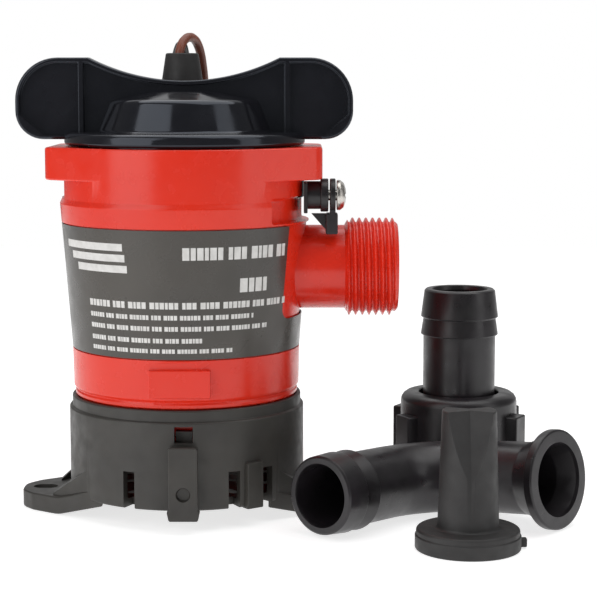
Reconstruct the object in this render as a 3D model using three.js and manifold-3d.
// A small submersible bilge pump with its loose hose fittings, as separate solids.
// Millimetres, +Z up. The pump stands on the floor at z = 0 and its outlet points along +X.
import * as THREE from 'three';
import { mergeVertices } from 'three/addons/utils/BufferGeometryUtils.js';
import Module from 'manifold-3d';

const wasm = await Module();
wasm.setup();

// ---- driving dimensions ----
const frameShift = new THREE.Vector3(-30.605, 10.608, 0);   // pump axis to the centre of the whole set
const gap = 0.3;                                         // running gap between neighbours
const bigRound = 40;                                     // facets of the large turned parts
const midRound = 20;
const smallRound = 12;

const base = {
  bottom: 5.4, floor: 2, shoulder: 28.3, top: 31.5,
  radius: 31.8, inner: 29.7, lipRadius: 31.0,
  slotWidth: 3.3, slotTop: 16, slotAngles: [-25, 26, 45],
  gridSlots: 10, gridWidth: 2.6, gridFrom: 10, gridTo: 24,
};
const ear = {
  tip: 45, root: 21, thick: 4.8, flatFrom: 34, rootRise: 4.4, rootHalf: 20.4, tipHalf: 8.4,
  ribWidth: 2.4, ribTop: 15.4, ribEnd: 36.5, slotFrom: 35.7, slotTo: 42.3, slotHalf: 2.25,
};
const tab = {
  half: 3.75, outer: 35.4, inner: 33.1, low: 3.5, high: 22.7, flare: 0.5,
  neckHalf: 2.1, neckLow: 16.4, neckHigh: 19.1, armOuter: 29.0, armInner: 27.7,
  armTop: 25.8, hookLow: 24.4, hookReach: 26.9, dimpleZ: 10.5, dimpleRadius: 1.9,
  windowHalf: 2.4, windowLow: 23.2, windowHigh: 27.5,
};
const body = {
  low: 22, floorTop: 24.5, eye: 10, spigot: 29.3, beadRadius: 30.1,
  taperLow: 43, taperLowRadius: 30.6, taperHigh: 83.3, taperHighRadius: 33.6,
  labelLow: 44.4, labelHigh: 78.2, labelDepth: 0.6,
  flangeLow: 89.8, top: 98.3, flangeRadius: 33.0, lobeReach: 36.8, lobeAngle: 55, lobeCorner: 6,
  neck: 29.0, chamber: 25.0, lugCut: 32.3,
  padHalf: 8, padLow: 34.8, padHigh: 42, padFace: 31.3,
};
const outlet = {
  height: 65.6, radius: 11.25, bore: 8.75, threadFrom: 43.3, end: 57.2,
  crest: 13.22, root: 12.06, pitch: 1.814, crests: 8,
};
const cap = {
  discLow: 98.6, discTop: 102, discRadius: 33.2, domeFoot: 23.2, domeShoulder: 19.5,
  domeRise: 110.8, crown: 113, skirtLow: 77.4, skirtRadius: 28.7, skirtInner: 25.9,
  lugRadius: 32.0, lugLow: 84.6, lugHigh: 89.2, lugHalfAngle: 9, twist: 30,
};
const wing = {
  reach: 45.1, low: 100, top: 121.7, dip: 115.6, dipHalf: 25.5, topCorner: 11.5, lowCorner: 7.5,
  webHalf: 1.5, rimHalf: 3.2, rim: 1.6, ribAt: 27.5, ribHalf: 0.7,
};
const boot = { x: -1.2, y: 9.5, low: 112.9, top: 123, footRadius: 5.8, topRadius: 4.5, bore: 2.95, mouth: 3.6 };
const motor = {
  caseRadius: 20.5, caseWall: 1.5, caseLow: 36.5, flangeRadius: 25.5, flangeLow: 78, flangeTop: 80,
  canRadius: 17.6, canWall: 1, canLow: 42.2, canTop: 73, magnetInner: 12.4, coreRadius: 11.8,
  coreLow: 50, coreTop: 64, shaft: 1.6, shaftLow: 25.5, shaftTop: 76, poles: 5,
};
const impeller = { radius: 21, low: 27.2, disc: 1.8, vaneTop: 34.4, hub: 4.2, vanes: 5, vaneThick: 1.6 };
const lock = { y: -9, z: 85.5, discRadius: 4.4, bossRadius: 3.7, tongueLow: 74.6, tongueHalf: 2.2 };
const port = {
  x: 76.3, y: 22, top: 57, radius: 10, bore: 7.5, flangeRadius: 12, flangeThick: 3,
  barbRadius: 10.5, barbLength: 8, secondBarb: 5,
};
const nut = { radius: 16, top: 28.6, hole: 11.3, bore: 13.5, lugs: 6, lugReach: 18.4, lugHalf: 3.2, lugTop: 22 };
const elbow = {
  corner: [66.6, -2.7], headingFlange: -41, barbLeg: 46.7, flangeLeg: 41.5, bend: 20, tilt: [0.0577, -0.0907],
  planeHeight: 4.97, radius: 9.5, bore: 7.85, barbRadius: 10.15, flangeRadius: 13, flangeThick: 3.2,
  mouthBore: 9.5,
};
const valve = {
  x: 72.7, y: -47.5, flangeRadius: 13.25, flangeThick: 5.3, foot: 8.1, head: 6.3, height: 35, wall: 1.6,
};
const lead = {
  diameter: 2.5, coilY: 62.5, coilInner: 10.9, coilOuter: 15.5, coilTop: 10.3,
  browncoilX: 13.4, blackcoilX: -20, tailRadius: 17.1, tailLength: 13, tipRadius: 0.7, tipLength: 7,
};

// ---- finishes ----
const finishes = {
  red: [0xe03c26, 0.3, 0], charcoal: [0x423f3a, 0.7, 0], blackGloss: [0x212121, 0.22, 0],
  black: [0x2a2a2b, 0.45, 0], label: [0x5c5a56, 0.5, 0], rubber: [0x2e2c2b, 0.85, 0],
  steel: [0xc9c5bd, 0.3, 1], zinc: [0xa8adb0, 0.4, 1], ferrite: [0x3a3a3c, 0.8, 0],
  copper: [0xb86a3a, 0.35, 1], bronze: [0xa5793e, 0.5, 1], carbon: [0x1d1d1f, 0.9, 0],
  nylon: [0xd9d6cb, 0.6, 0], brown: [0x7a4634, 0.6, 0], blackLead: [0x1c1c1d, 0.6, 0],
  tinned: [0xbfc0bf, 0.35, 1],
};
const materials = Object.fromEntries(Object.entries(finishes).map(([name, [color, roughness, metalness]]) => {
  const material = new THREE.MeshStandardMaterial({ color, roughness, metalness, flatShading: true });
  return [name, material];
}));

const pump = new THREE.Group();
pump.position.copy(frameShift);

// ---- solids from three.js geometry ----
function closed(geometry) {
  const bare = geometry.index ? geometry.toNonIndexed() : geometry.clone();
  bare.deleteAttribute('normal');
  bare.deleteAttribute('uv');
  const merged = mergeVertices(bare, 1e-3);
  const index = merged.index.array;
  const kept = [];
  for (let i = 0; i < index.length; i += 3) {
    const [a, b, c] = [index[i], index[i + 1], index[i + 2]];
    if (a !== b && b !== c && c !== a) kept.push(a, b, c);
  }
  return { vertProperties: merged.attributes.position.array, triVerts: Uint32Array.from(kept) };
}

function solid(geometry) {
  const { vertProperties, triVerts } = closed(geometry);
  return new wasm.Manifold(new wasm.Mesh({ numProp: 3, vertProperties, triVerts }));
}

function join(...solids) {
  return solids.reduce((whole, next) => whole.add(next));
}

function cut(from, ...tools) {
  return tools.reduce((left, tool) => left.subtract(tool), from);
}

function add(name, material, made) {
  const { vertProperties, triVerts } = made.getMesh();
  const geometry = new THREE.BufferGeometry();
  geometry.setAttribute('position', new THREE.BufferAttribute(vertProperties, 3));
  geometry.setIndex(new THREE.BufferAttribute(triVerts, 1));
  geometry.computeVertexNormals();
  const mesh = new THREE.Mesh(geometry, materials[material]);
  mesh.name = name;
  pump.add(mesh);
}

const points = (pairs) => pairs.map(([x, y]) => new THREE.Vector2(x, y));
const radians = THREE.MathUtils.degToRad;

// A turned solid about Z. The profile is [radius, z] pairs, anticlockwise, ending on the axis or where it began.
function turned(profile, facets = bigRound) {
  const geometry = new THREE.LatheGeometry(points(profile), facets);
  return solid(geometry.rotateX(Math.PI / 2));
}

function ring(inner, outer, low, high, facets = bigRound) {
  return turned([[inner, low], [outer, low], [outer, high], [inner, high], [inner, low]], facets);
}

function rod(radius, low, high, facets = smallRound) {
  return turned([[0, low], [radius, low], [radius, high], [0, high]], facets);
}

// Turns a solid made about Z so that it lies along +X.
function alongX(made) {
  return made.rotate([0, 90, 0]);
}

function block(x0, x1, y0, y1, z0, z1) {
  const geometry = new THREE.BoxGeometry(x1 - x0, y1 - y0, z1 - z0);
  return solid(geometry.translate((x0 + x1) / 2, (y0 + y1) / 2, (z0 + z1) / 2));
}

function extruded(shape, depth, curveSegments = 8) {
  return new THREE.ExtrudeGeometry(shape, { depth, bevelEnabled: false, curveSegments });
}

function standing(shape, low, high, curveSegments) {
  return solid(extruded(shape, high - low, curveSegments).translate(0, 0, low));
}

// An outline in X and Z, given its thickness from y0 to y1.
function upright(shape, y0, y1, curveSegments) {
  return solid(extruded(shape, y1 - y0, curveSegments).rotateX(Math.PI / 2).translate(0, y1, 0));
}

function sector(inner, outer, low, high, fromDegrees, toDegrees, curveSegments = 8) {
  const shape = new THREE.Shape();
  shape.absarc(0, 0, outer, radians(fromDegrees), radians(toDegrees), false);
  shape.absarc(0, 0, inner, radians(toDegrees), radians(fromDegrees), true);
  shape.closePath();
  return standing(shape, low, high, curveSegments);
}

// A block standing across the wall at an angle from the front, positive towards the outlet.
function radial(angle, inner, outer, width, low, high) {
  return block(-width / 2, width / 2, -outer, -inner, low, high).rotate([0, 0, angle]);
}

const bodyRadius = (z) => {
  const slope = (body.taperHighRadius - body.taperLowRadius) / (body.taperHigh - body.taperLow);
  return body.taperLowRadius + (z - body.taperLow) * slope;
};

// ---- strainer base ----
function earPlan() {
  const shape = new THREE.Shape();
  shape.moveTo(ear.root, -ear.rootHalf);
  shape.lineTo(ear.tip - 5, -ear.tipHalf);
  shape.quadraticCurveTo(ear.tip, -ear.tipHalf + 1.5, ear.tip, -3);
  shape.lineTo(ear.tip, 3);
  shape.quadraticCurveTo(ear.tip, ear.tipHalf - 1.5, ear.tip - 5, ear.tipHalf);
  shape.lineTo(ear.root, ear.rootHalf);
  shape.closePath();
  return shape;
}

function earPlate() {
  const side = new THREE.Shape(points([
    [ear.root, ear.rootRise], [ear.flatFrom, 0], [ear.tip + 1, 0], [ear.tip + 1, ear.thick],
    [ear.flatFrom, ear.thick], [ear.root, ear.thick + ear.rootRise],
  ]));
  return standing(earPlan(), 0, ear.ribTop, 4).intersect(upright(side, -30, 30));
}

function earRib(side) {
  const strip = new THREE.Shape(points([
    [ear.root, side * ear.rootHalf], [ear.tip - 5, side * ear.tipHalf],
    [ear.tip - 7, side * (ear.tipHalf - ear.ribWidth)],
    [ear.root, side * (ear.rootHalf - ear.ribWidth * 1.25)],
  ]));
  const wedge = new THREE.Shape(points([
    [ear.root, 5], [ear.ribEnd, 4], [ear.ribEnd, ear.thick + 0.4], [ear.root + 2, ear.ribTop], [ear.root, ear.ribTop],
  ]));
  return standing(strip, 4, ear.ribTop).intersect(upright(wedge, -30, 30));
}

function earSlot() {
  const shape = new THREE.Shape();
  shape.absarc(ear.slotTo - ear.slotHalf, 0, ear.slotHalf, -Math.PI / 2, Math.PI / 2);
  shape.absarc(ear.slotFrom + ear.slotHalf, 0, ear.slotHalf, Math.PI / 2, 1.5 * Math.PI);
  shape.closePath();
  return standing(shape, -1, 12, 5);
}

function makeBase() {
  let wall = turned([
    [0, base.bottom], [base.radius, base.bottom], [base.radius, base.shoulder],
    [base.lipRadius, base.shoulder + 0.3], [base.lipRadius, base.top], [base.inner, base.top],
    [base.inner, base.bottom + base.floor], [0, base.bottom + base.floor],
  ]);
  const bore = rod(base.inner + 0.6, -1, 40, bigRound);
  const foot = cut(join(earPlate(), earRib(1), earRib(-1)), bore);
  wall = join(wall, foot, foot.rotate([0, 0, 180]));
  const slot = earSlot();
  wall = cut(wall, slot, slot.rotate([0, 0, 180]));
  for (const turn of [0, 180]) {
    wall = join(wall, radial(36 + turn, base.inner + 0.5, base.radius + 1.2, 5, base.bottom - 0.4, 17.2));
    for (const angle of base.slotAngles) {
      wall = cut(wall, radial(angle + turn, 27, 34, base.slotWidth, 0, base.slotTop));
    }
    wall = cut(wall, radial(turn, 27, 34, tab.windowHalf * 2, tab.windowLow, tab.windowHigh));
    wall = cut(wall, radial(turn, 27, 34, tab.neckHalf * 2 + 0.8, tab.neckLow - 0.4, tab.neckHigh + 0.4));
  }
  for (let i = 0; i < base.gridSlots; i += 1) {
    const angle = (360 / base.gridSlots) * i;
    wall = cut(wall, radial(angle, base.gridFrom, base.gridTo, base.gridWidth, 4, 9));
  }
  add('strainer_base', 'charcoal', wall);
}

// A rocking catch: pressing its foot in draws the hook out of the housing's pocket.
function makeTab(name, turn) {
  const outline = new THREE.Shape(points([
    [-tab.half, tab.low + 3], [-tab.half - tab.flare, tab.low + 2.4], [-tab.half, tab.low],
    [tab.half, tab.low], [tab.half + tab.flare, tab.low + 2.4], [tab.half, tab.low + 3],
    [tab.half, tab.high], [-tab.half, tab.high],
  ]));
  const bar = upright(outline, -tab.outer, -tab.inner);
  const neck = block(-tab.neckHalf, tab.neckHalf, -tab.inner - 0.5, -tab.armInner, tab.neckLow, tab.neckHigh);
  const arm = block(-tab.neckHalf, tab.neckHalf, -tab.armOuter, -tab.armInner, tab.neckLow, tab.armTop);
  const hook = block(-tab.neckHalf, tab.neckHalf, -tab.armOuter, -tab.hookReach, tab.hookLow, tab.armTop);
  const dimple = rod(tab.dimpleRadius, -1, 0.9, 12).rotate([-90, 0, 0]).translate([0, -tab.outer, tab.dimpleZ]);
  add(name, 'charcoal', cut(join(bar, neck, arm, hook), dimple).rotate([0, 0, turn]));
}

// ---- pump housing with its outlet ----
function flangeOutline() {
  const a = radians(body.lobeAngle);
  const touchX = body.flangeRadius * Math.cos(a);
  const touchY = body.flangeRadius * Math.sin(a);
  const cornerY = touchY - (body.lobeReach - touchX) * (Math.cos(a) / Math.sin(a));
  const back = body.lobeCorner / 2;
  const shape = new THREE.Shape();
  shape.moveTo(body.lobeReach, -cornerY + back);
  shape.lineTo(body.lobeReach, cornerY - back);
  shape.quadraticCurveTo(body.lobeReach, cornerY, body.lobeReach - back, cornerY + back * 0.7);
  shape.lineTo(touchX, touchY);
  shape.absarc(0, 0, body.flangeRadius, a, Math.PI - a, false);
  shape.lineTo(-body.lobeReach + back, cornerY + back * 0.7);
  shape.quadraticCurveTo(-body.lobeReach, cornerY, -body.lobeReach, cornerY - back);
  shape.lineTo(-body.lobeReach, -cornerY + back);
  shape.quadraticCurveTo(-body.lobeReach, -cornerY, -body.lobeReach + back, -cornerY - back * 0.7);
  shape.lineTo(-touchX, -touchY);
  shape.absarc(0, 0, body.flangeRadius, Math.PI + a, 2 * Math.PI - a, false);
  shape.lineTo(body.lobeReach - back, -cornerY - back * 0.7);
  shape.quadraticCurveTo(body.lobeReach, -cornerY, body.lobeReach, -cornerY + back);
  return shape;
}

function outletSolid() {
  const profile = [[0, 27], [outlet.radius, 27], [outlet.radius, outlet.threadFrom], [outlet.root, outlet.threadFrom]];
  for (let i = 0; i < outlet.crests; i += 1) {
    const start = outlet.threadFrom + 0.05 + i * outlet.pitch * 0.945;
    profile.push([outlet.crest, start + outlet.pitch * 0.4], [outlet.root, start + outlet.pitch * 0.9]);
  }
  profile.push([outlet.root, outlet.end], [0, outlet.end]);
  return alongX(turned(profile, midRound)).translate([0, 0, outlet.height]);
}

function makeHousing() {
  let shell = turned([
    [0, body.low], [body.spigot, body.low], [body.spigot, 31.4], [body.beadRadius, 31.9],
    [body.beadRadius, 32.8], [body.beadRadius - 0.3, 33.3], [body.taperLowRadius - 0.1, 34.2],
    [bodyRadius(body.labelLow), body.labelLow], [bodyRadius(body.labelLow) - body.labelDepth, body.labelLow],
    [bodyRadius(body.labelHigh) - body.labelDepth, body.labelHigh], [bodyRadius(body.labelHigh), body.labelHigh],
    [body.taperHighRadius, body.taperHigh], [body.flangeRadius, body.taperHigh + 1.2],
    [body.flangeRadius, body.flangeLow + 1], [0, body.flangeLow + 1],
  ]);
  shell = join(shell, standing(flangeOutline(), body.flangeLow, body.top, 6), outletSolid());
  for (const side of [-1, 1]) {
    const face = side * body.padFace;
    const pad = block(-body.padHalf, body.padHalf, Math.min(face, side * 26), Math.max(face, side * 26),
      body.padLow, body.padHigh);
    shell = join(shell, pad);
  }
  const hollow = turned([
    [0, body.floorTop], [body.chamber, body.floorTop], [body.chamber, 34.6], [27.6, 38.4], [28.4, 75.4],
    [body.neck, 76.4], [body.neck, body.top + 1], [0, body.top + 1],
  ]);
  const bore = alongX(rod(outlet.bore, 20, outlet.end + 1, midRound)).translate([0, 0, outlet.height]);
  shell = cut(shell, hollow, rod(body.eye, body.low - 1, body.floorTop + 1, midRound), bore);
  for (const turn of [0, 180]) {
    shell = cut(shell, sector(28, body.lugCut, 84.2, 89.6, turn - 12, turn + 42));
    shell = cut(shell, sector(28, body.lugCut, 84.2, body.top + 1, turn + 18, turn + 42));
    shell = cut(shell, sector(31, 35, 84.7, 89.4, turn - 18, turn + 18));
    const pocketHigh = radial(turn, 26.5, 30, 5.2, tab.hookLow - gap, tab.windowHigh);
    const pocketLow = radial(turn, 27.35, 30, 5.2, body.low - 1, tab.hookLow);
    shell = cut(shell, pocketHigh, pocketLow);
  }
  add('pump_housing', 'red', shell);
}

function makeLabel() {
  const low = body.labelLow + 0.3;
  const high = body.labelHigh - 0.3;
  const skin = turned([
    [bodyRadius(low) - 0.3, low], [bodyRadius(low) - 0.02, low], [bodyRadius(high) - 0.02, high],
    [bodyRadius(high) - 0.3, high], [bodyRadius(low) - 0.3, low],
  ]);
  const hole = alongX(rod(outlet.radius + 0.4, 20, 45, midRound)).translate([0, 0, outlet.height]);
  add('label_band', 'label', cut(skin, hole, radial(180, 28, 36, 0.8, 40, 90)));
}

// ---- cartridge: cap, handle, seal, cable boot ----
function wingOutline(inset) {
  const reach = wing.reach - inset;
  const top = wing.top - inset;
  const low = wing.low + inset;
  const sag = wing.top - wing.dip;
  const arcRadius = (wing.dipHalf ** 2 + sag ** 2) / (2 * sag) + inset;
  const centreZ = wing.dip - inset + arcRadius;
  const half = Math.asin(wing.dipHalf / arcRadius);
  const edgeZ = centreZ - arcRadius * Math.cos(half);
  const topCorner = wing.topCorner - inset;
  const lowCorner = wing.lowCorner - inset;
  const shape = new THREE.Shape();
  shape.moveTo(-reach + lowCorner, low);
  shape.lineTo(reach - lowCorner, low);
  shape.absarc(reach - lowCorner, low + lowCorner, lowCorner, -Math.PI / 2, 0, false);
  shape.absarc(reach - topCorner, top - topCorner, topCorner, 0, Math.PI / 2, false);
  shape.lineTo(wing.dipHalf, edgeZ);
  shape.absarc(0, centreZ, arcRadius, -Math.PI / 2 + half, -Math.PI / 2 - half, true);
  shape.absarc(-reach + topCorner, top - topCorner, topCorner, Math.PI / 2, Math.PI, false);
  shape.absarc(-reach + lowCorner, low + lowCorner, lowCorner, Math.PI, 1.5 * Math.PI, false);
  return shape;
}

function handlePlate() {
  const rim = cut(upright(wingOutline(0), -wing.rimHalf, wing.rimHalf, 7),
    upright(wingOutline(wing.rim), -9, 9, 7));
  let plate = join(rim, upright(wingOutline(0), -wing.webHalf, wing.webHalf, 7));
  for (const side of [-1, 1]) {
    const x = side * wing.ribAt;
    plate = join(plate, block(x - wing.ribHalf, x + wing.ribHalf, -wing.rimHalf, wing.rimHalf, 101, wing.top - 1));
  }
  return cut(plate, rod(cap.discRadius - 0.6, 90, cap.discTop - 0.6, bigRound));
}

function makeCap() {
  const grooveLow = 80.0;
  const grooveHigh = 82.4;
  let shell = turned([
    [0, 96.4], [cap.skirtInner, 96.4], [cap.skirtInner, cap.skirtLow], [cap.skirtRadius, cap.skirtLow],
    [cap.skirtRadius, grooveLow], [26.9, grooveLow], [26.9, grooveHigh], [cap.skirtRadius, grooveHigh],
    [cap.skirtRadius, cap.discLow], [cap.discRadius - 0.5, cap.discLow], [cap.discRadius, cap.discLow + 0.6],
    [cap.discRadius, cap.discTop - 1.2], [cap.discRadius - 1.2, cap.discTop], [cap.domeFoot, cap.discTop],
    [cap.domeShoulder, cap.domeRise], [cap.domeShoulder - 1.5, cap.domeRise + 0.7],
    [cap.domeShoulder / 2, cap.crown - 0.4], [0, cap.crown],
  ]);
  const hollow = turned([[0, 96], [20.5, 96], [18, 107.5], [14, 109], [0, 110.5]], midRound);
  const wires = rod(boot.bore, 105, 125, 12).translate([boot.x, boot.y, 0]);
  shell = join(shell, handlePlate());
  for (const turn of [0, 180]) {
    const half = cap.lugHalfAngle;
    shell = join(shell, sector(28.2, cap.lugRadius, cap.lugLow, cap.lugHigh, turn - half, turn + half, 4));
  }
  add('cartridge_cap', 'blackGloss', cut(shell, hollow, wires));
}

function torus(middle, thick, height, facets, sides = 8) {
  const profile = [];
  for (let i = 0; i <= sides; i += 1) {
    const a = (2 * Math.PI * i) / sides;
    profile.push([middle + thick * Math.cos(a), height + thick * Math.sin(a)]);
  }
  return turned(profile, facets);
}

function makeBoot() {
  const skin = turned([
    [boot.bore, boot.low], [boot.footRadius, boot.low], [boot.footRadius, boot.low + 1.4],
    [boot.topRadius, boot.top - 0.5], [boot.topRadius - 0.4, boot.top], [boot.mouth, boot.top],
    [boot.bore, boot.top - 2], [boot.bore, boot.low],
  ], 16);
  add('cable_boot', 'rubber', skin.translate([boot.x, boot.y, 0]));
}

// ---- motor, held in the cartridge ----
function makeMotorShell() {
  const wallInner = motor.caseRadius - motor.caseWall;
  add('motor_case', 'black', turned([
    [3.2, motor.caseLow], [motor.caseRadius, motor.caseLow], [motor.caseRadius, motor.flangeLow],
    [motor.flangeRadius, motor.flangeLow], [motor.flangeRadius, motor.flangeTop], [wallInner, motor.flangeTop],
    [wallInner, motor.caseLow + 2], [3.2, motor.caseLow + 2], [3.2, motor.caseLow],
  ], 28));
  const canInner = motor.canRadius - motor.canWall;
  add('motor_can', 'zinc', turned([
    [3.3, motor.canLow], [motor.canRadius, motor.canLow], [motor.canRadius, motor.canTop],
    [canInner, motor.canTop], [canInner, motor.canLow + 1], [3.3, motor.canLow + 1], [3.3, motor.canLow],
  ], 24));
  const magnetOuter = canInner - gap;
  add('magnet_left', 'ferrite', sector(motor.magnetInner, magnetOuter, 48, 65.8, 112, 248, 6));
  add('magnet_right', 'ferrite', sector(motor.magnetInner, magnetOuter, 48, 65.8, -68, 68, 6));
  add('shaft_seal', 'rubber', ring(1.9, 7, motor.caseLow + 2.3, motor.canLow - gap - 0.1, 20));
  add('bush_bottom', 'bronze', ring(1.75, 3, motor.canLow, motor.canLow + 3.4, smallRound));
  add('bush_top', 'bronze', ring(1.75, 3, 73.6, 76.2, smallRound));
}

function makeBrushGear() {
  const holders = [];
  for (const side of [-1, 1]) {
    const outer = join(block(5.2, 12.4, -2.9, -1.9, 66.4, 74), block(5.2, 12.4, 1.9, 2.9, 66.4, 74));
    holders.push(side > 0 ? outer : outer.rotate([0, 0, 180]));
  }
  add('brush_plate', 'nylon', join(ring(3.3, 16.3, 73.3, 75.8, 20), ...holders));
  for (const [name, turn] of [['left', 180], ['right', 0]]) {
    add(`brush_${name}`, 'carbon', block(4.1, 9.4, -1.6, 1.6, 67.6, 71.6).rotate([0, 0, turn]));
    const leaf = join(block(9.8, 10.2, -1.5, 1.5, 67.8, 72.9), block(9.8, 12, -1.5, 1.5, 72.5, 72.9));
    add(`brush_spring_${name}`, 'bronze', leaf.rotate([0, 0, turn]));
  }
}

function makeRotor() {
  add('motor_shaft', 'steel', rod(motor.shaft, motor.shaftLow, motor.shaftTop, 14));
  const poleAngle = 360 / motor.poles;
  let core = rod(5.4, motor.coreLow, motor.coreTop, 20);
  let copper = join(ring(5.8, 9.6, motor.coreTop + gap, motor.coreTop + 1.9, 20),
    ring(5.8, 9.6, motor.coreLow - 1.9, motor.coreLow - gap, 20));
  for (let i = 0; i < motor.poles; i += 1) {
    const angle = poleAngle * i;
    const neck = block(4, 10.6, -1.7, 1.7, motor.coreLow, motor.coreTop).rotate([0, 0, angle]);
    const shoe = sector(10.2, motor.coreRadius, motor.coreLow, motor.coreTop, angle - 30, angle + 30, 3);
    core = join(core, neck, shoe);
    const bar = sector(6.2, 9.3, motor.coreLow - 1, motor.coreTop + 1, angle + 23, angle + poleAngle - 23, 2);
    copper = join(copper, bar);
  }
  add('armature_core', 'zinc', cut(core, rod(1.85, 40, 70, 14)));
  add('armature_winding', 'copper', copper);
  add('commutator', 'copper', ring(1.9, 3.8, 66.4, 72.8, 20));
}

function makeImpeller() {
  const discTop = impeller.low + impeller.disc;
  let wheel = join(rod(impeller.radius, impeller.low, discTop, 24), rod(impeller.hub, impeller.low, impeller.vaneTop));
  for (let i = 0; i < impeller.vanes; i += 1) {
    const blade = sector(12.2, 12.2 + impeller.vaneThick, discTop - 0.3, impeller.vaneTop - 0.8, -70, 40, 5);
    wheel = join(wheel, blade.translate([8.2, 0, 0]).rotate([0, 0, (360 / impeller.vanes) * i]));
  }
  const eyes = [];
  for (let i = 0; i < impeller.vanes; i += 1) {
    const a = radians((360 / impeller.vanes) * i + 36);
    eyes.push(rod(2.1, 20, discTop + 0.1, 8).translate([7 * Math.cos(a), 7 * Math.sin(a), 0]));
  }
  const rimmed = wheel.intersect(rod(impeller.radius, 20, 40, 24));
  add('impeller', 'nylon', cut(rimmed, rod(1.9, 20, 40, 14), ...eyes));
}

// ---- cartridge lock at the outlet side ----
function makeLock() {
  const place = (made) => alongX(made).translate([0, lock.y, lock.z]);
  const screwHole = place(rod(1.8, 30, 46, 12));
  const bracket = join(block(33.3, 34.3, -14, -4.4, 81, 89.4), place(rod(lock.bossRadius, 34, 38, 20)),
    place(rod(lock.discRadius, 37.1, 38.5, 20)));
  add('lock_bracket', 'black', cut(bracket, screwHole));
  const y0 = lock.y - lock.tongueHalf;
  const y1 = lock.y + lock.tongueHalf;
  const web = new THREE.Shape(points([[34.7, 80.5], [38.6, 75.6], [38.6, 80.5]]));
  const lever = join(place(rod(lock.discRadius, 38.9, 40.6, 20)), block(38.9, 40.6, y0, y1, 77, 84),
    block(38.2, 41.5, y0, y1, lock.tongueLow, 80.9), upright(web, lock.y + 0.8, lock.y + 1.8));
  add('lock_lever', 'black', cut(lever, screwHole));
  const head = place(turned([[0, 33.8], [1.45, 33.8], [1.45, 40.9], [4, 40.9], [4, 41.9], [3.3, 43.2], [1.8, 43.9],
    [0, 44.1]], 20));
  const slot = block(43.0, 45, lock.y - 3.2, lock.y + 3.2, lock.z - 0.4, lock.z + 0.4);
  const cross = block(43.0, 45, lock.y - 0.4, lock.y + 0.4, lock.z - 3.2, lock.z + 3.2);
  add('lock_screw', 'steel', cut(head, slot, cross));
}

// ---- loose fittings ----
function barbs(end, radius, barb, first, second) {
  return turned([
    [0, end - first - second - 1], [radius, end - first - second - 1], [radius, end - first - second],
    [barb, end - first - second], [radius, end - first], [barb, end - first], [radius - 0.4, end - 0.3],
    [radius - 1, end], [0, end],
  ], midRound);
}

function makeStraightPort() {
  const tube = join(rod(port.radius, 0, port.top - 10, midRound), rod(port.flangeRadius, 0, port.flangeThick, midRound),
    barbs(port.top, port.radius, port.barbRadius, port.barbLength, port.secondBarb));
  const bored = cut(tube, rod(port.bore, -1, port.top + 1, midRound));
  add('straight_port', 'black', bored.translate([port.x, port.y, 0]));
}

function makeNut() {
  let shell = turned([
    [nut.bore, 0], [nut.radius, 0], [nut.radius, nut.top - 2.6], [nut.radius - 0.8, nut.top - 0.8],
    [nut.radius - 2.6, nut.top], [nut.hole, nut.top], [nut.hole, nut.top - 4], [nut.bore, nut.top - 4],
    [nut.bore, 0],
  ], midRound);
  for (let i = 0; i < nut.lugs; i += 1) {
    const lug = radial((360 / nut.lugs) * (i + 0.5), nut.radius - 1.2, nut.lugReach, nut.lugHalf * 2, 0, nut.lugTop);
    shell = join(shell, lug);
  }
  add('port_nut', 'black', shell.translate([port.x, port.y, 0]));
}

// A quarter bend in the plane of the elbow, from the flange leg round to the barb leg.
class Bend extends THREE.Curve {
  getPoint(t, target = new THREE.Vector3()) {
    const a = -Math.PI / 2 - t * (Math.PI / 2);
    const r = elbow.bend;
    return target.set(r + r * Math.cos(a), r + r * Math.sin(a), 0);
  }
}

function circle(radius, sides) {
  const outline = [];
  for (let i = 0; i < sides; i += 1) {
    const a = (2 * Math.PI * i) / sides;
    outline.push([radius * Math.cos(a), radius * Math.sin(a)]);
  }
  return new THREE.Shape(points(outline));
}

function swept(radius, path, steps, sides) {
  return solid(new THREE.ExtrudeGeometry(circle(radius, sides), { extrudePath: path, steps, bevelEnabled: false }));
}

function legAlong(made, turn) {
  return alongX(made).rotate([0, 0, turn]);
}

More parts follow.
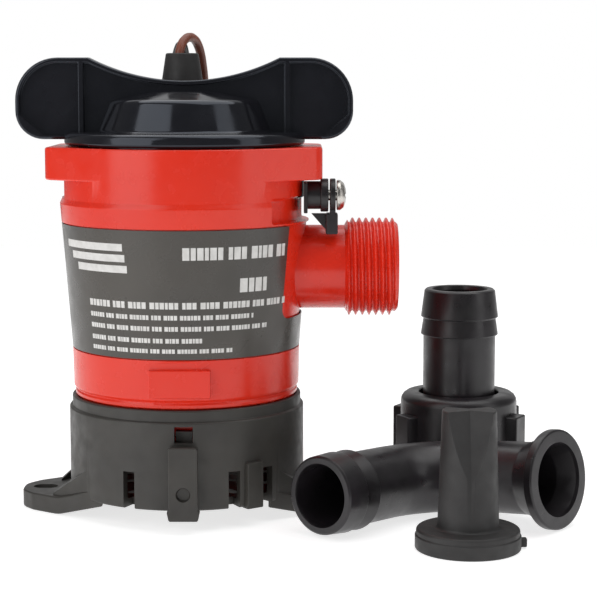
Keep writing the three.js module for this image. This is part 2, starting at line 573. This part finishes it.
function makeElbow() {
  const start = elbow.bend - 0.2;
  const flangeSide = turned([
    [0, start], [elbow.radius, start], [elbow.radius, elbow.flangeLeg - 8],
    [elbow.flangeRadius - 1.6, elbow.flangeLeg - elbow.flangeThick - 0.6],
    [elbow.flangeRadius, elbow.flangeLeg - elbow.flangeThick], [elbow.flangeRadius, elbow.flangeLeg],
    [0, elbow.flangeLeg],
  ], midRound);
  const barbSide = join(rod(elbow.radius, start, elbow.barbLeg - 9, midRound),
    barbs(elbow.barbLeg, elbow.radius, elbow.barbRadius, 7, 5));
  const bendTube = (radius) => swept(radius, new Bend(), 6, midRound);
  const outside = join(legAlong(flangeSide, 0), legAlong(barbSide, 90), bendTube(elbow.radius));
  const mouth = turned([[0, start - 0.2], [elbow.bore, start - 0.2], [elbow.bore, elbow.flangeLeg - 6],
    [elbow.mouthBore, elbow.flangeLeg - 1], [elbow.mouthBore, elbow.flangeLeg + 1], [0, elbow.flangeLeg + 1]], midRound);
  const inside = join(legAlong(mouth, 0), legAlong(rod(elbow.bore, start - 0.2, 60, midRound), 90),
    bendTube(elbow.bore));
  const [slopeX, slopeY] = elbow.tilt;
  const heading = radians(elbow.headingFlange);
  const up = new THREE.Vector3(-slopeX, -slopeY, 1).normalize();
  const along = new THREE.Vector3(Math.cos(heading), Math.sin(heading), 0);
  along.z = slopeX * along.x + slopeY * along.y;
  along.normalize();
  const across = new THREE.Vector3().crossVectors(along, up);
  const lift = new THREE.Matrix4().makeBasis(along, across, up.clone().negate());
  const [x, y] = elbow.corner;
  lift.setPosition(x, y, elbow.planeHeight + slopeX * x + slopeY * y);
  add('elbow_port', 'black', cut(outside, inside).transform(lift.elements));
}

function makeValve() {
  const thick = valve.flangeThick;
  const slope = valve.height - thick;
  const bodyOut = turned([
    [0, 0], [valve.flangeRadius - 0.4, 0], [valve.flangeRadius, 0.4], [valve.flangeRadius, 2],
    [valve.flangeRadius - 0.5, 2.4], [valve.flangeRadius - 0.5, 2.9], [valve.flangeRadius, 3.3],
    [valve.flangeRadius, thick - 0.6], [valve.flangeRadius - 0.6, thick], [valve.foot, thick],
    [valve.head, valve.height], [0, valve.height],
  ], midRound);
  const nub = block(valve.flangeRadius - 0.8, valve.flangeRadius + 1.4, -1.1, 1.1, 2, 4.4);
  let bill = join(bodyOut, nub);
  for (let i = 0; i < 4; i += 1) {
    const vee = new THREE.Shape(points([[0, 17.5], [4.6, valve.height + 1], [-4.6, valve.height + 1]]));
    const notch = upright(vee, -14, 0).translate([0, -2.2, 0]).rotate([0, 0, 90 * i + 4]);
    bill = cut(bill, notch);
  }
  const bore = turned([[0, -1], [valve.foot - valve.wall, -1], [valve.foot - valve.wall - 0.6, thick + 8],
    [1.2, thick + slope * 0.5], [0, thick + slope * 0.5]], 20);
  add('check_valve', 'rubber', cut(bill, bore).translate([valve.x, valve.y, 0]));
}

// ---- supply leads: out of the boot, over and down behind the pump, into a storage coil ----
const leadRoutes = {
  brown: [
    [-2.0, 8.3, 117], [-2.0, 8.3, 120.6], [-1.8, 8.7, 123.4], [-1.0, 10.5, 126.1], [0.5, 13.4, 127.4],
    [2.0, 16.9, 126.6], [3.1, 20.3, 123.6], [3.7, 24.2, 118.6], [4.0, 29.0, 112.0], [4.0, 33.6, 105.2],
    [3.9, 37.0, 97.6], [3.7, 38.8, 89], [3.5, 39.6, 77], [3.4, 40, 64], [3.4, 40.2, 51],
    [3.3, 40.6, 39], [3.2, 41.5, 28.5], [3.5, 43.2, 19.6],
  ],
  black: [
    [-0.4, 10.5, 117], [-0.4, 10.5, 120.6], [-0.6, 11.1, 123.0], [-1.3, 13.6, 125.0], [-2.4, 17.1, 125.0],
    [-3.6, 21.0, 122.4], [-4.8, 25.2, 117.2], [-6.0, 29.6, 111.0], [-7.0, 33.8, 104.2], [-7.8, 36.9, 96.8],
    [-8.4, 38.6, 88.4], [-8.8, 39.5, 77], [-9.2, 40, 64], [-9.5, 40.2, 51], [-9.7, 40.6, 39],
    [-9.9, 41.5, 28.5], [-10.1, 43.2, 19.6],
  ],
};

function makeLead(colour, material, coilX, side) {
  const path = new THREE.CatmullRomCurve3(leadRoutes[colour].map(([x, y, z]) => new THREE.Vector3(x, y, z)));
  add(`lead_${colour}`, material, swept(lead.diameter / 2, path, 30, 8));
  const coil = ring(lead.coilInner, lead.coilOuter, 0, lead.coilTop, 20);
  add(`lead_${colour}_coil`, material, coil.translate([coilX, lead.coilY, 0]));
  const tailX = coilX + side * lead.tailRadius;
  const r = lead.diameter / 2;
  const lying = (made) => made.rotate([-90, 0, 0]).translate([tailX, lead.coilY, r]);
  add(`lead_${colour}_tail`, material, lying(rod(r, 0, lead.tailLength, 8)));
  const tipFrom = lead.tailLength + gap;
  add(`lead_${colour}_tip`, 'tinned', lying(rod(lead.tipRadius, tipFrom, tipFrom + lead.tipLength, 8)));
}

makeBase();
makeTab('release_tab_front', 0);
makeTab('release_tab_back', 180);
makeHousing();
makeLabel();
makeCap();
add('cap_o_ring', 'rubber', torus(27.85, 0.8, 81.2, bigRound, 6));
makeBoot();
makeMotorShell();
makeBrushGear();
makeRotor();
makeImpeller();
makeLock();
makeStraightPort();
makeNut();
makeElbow();
makeValve();
makeLead('brown', 'brown', lead.browncoilX, 1);
makeLead('black', 'blackLead', lead.blackcoilX, -1);

export default pump;
